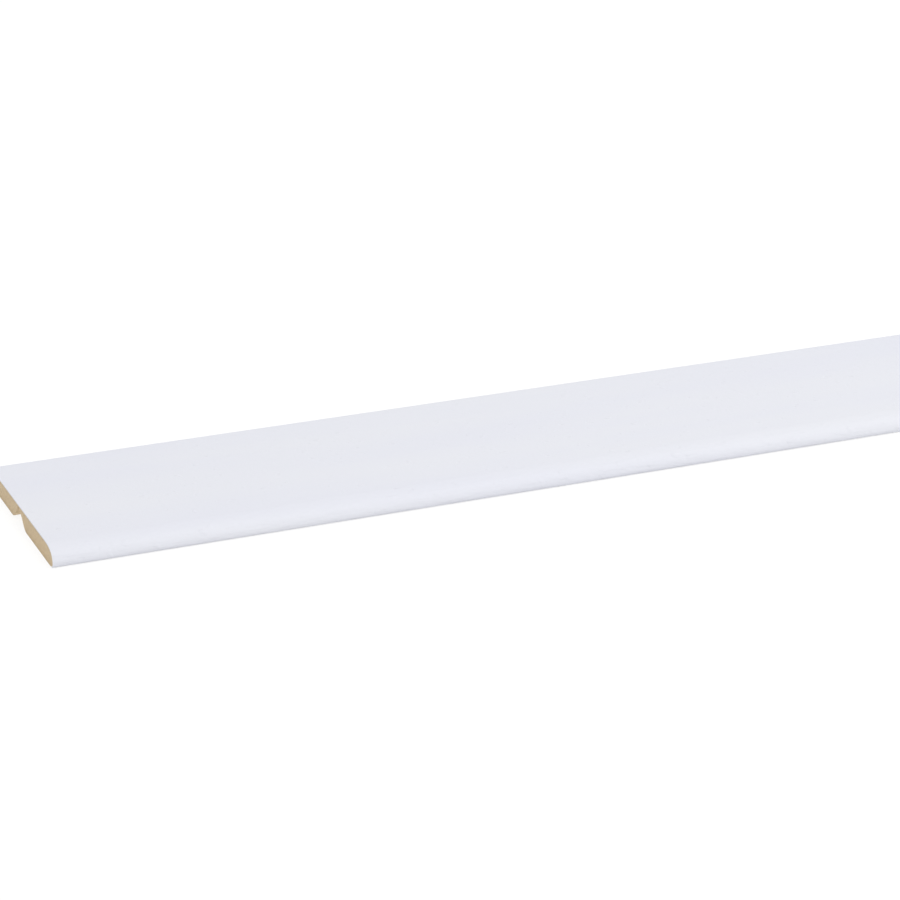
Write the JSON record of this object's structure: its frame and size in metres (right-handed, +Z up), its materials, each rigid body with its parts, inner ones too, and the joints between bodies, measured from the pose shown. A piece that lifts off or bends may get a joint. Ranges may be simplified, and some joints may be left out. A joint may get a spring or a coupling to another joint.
{
  "type": "folding corner moulding",
  "caption": "Flat fibreboard strip wrapped in white foil, with a vee groove along its back so that it folds on the foil to trim an outside or inside corner.",
  "frame": {"origin": "on the back plane, under the fold line, at the middle of the length", "axes": "+X along the moulding and the fold line, +Y across it towards the rear leg, +Z up out of the white face, with the moulding lying flat"},
  "size_m": [2.6, 0.06, 0.005],
  "materials": {
    "fibreboard": "matte",
    "white_foil": "satin"
  },
  "bodies": {
    "rear_side": {"rear_leg": "fibreboard", "rear_foil": "white_foil"},
    "front_side": {"front_leg": "fibreboard", "front_foil": "white_foil"}
  },
  "joints": [
    {"name": "fold", "type": "hinge", "parent": "rear_side", "child": "front_side", "pos_m": [0, 0, 0.00485], "axis": [1, 0, 0], "range_deg": [-90, 90]}
  ]
}
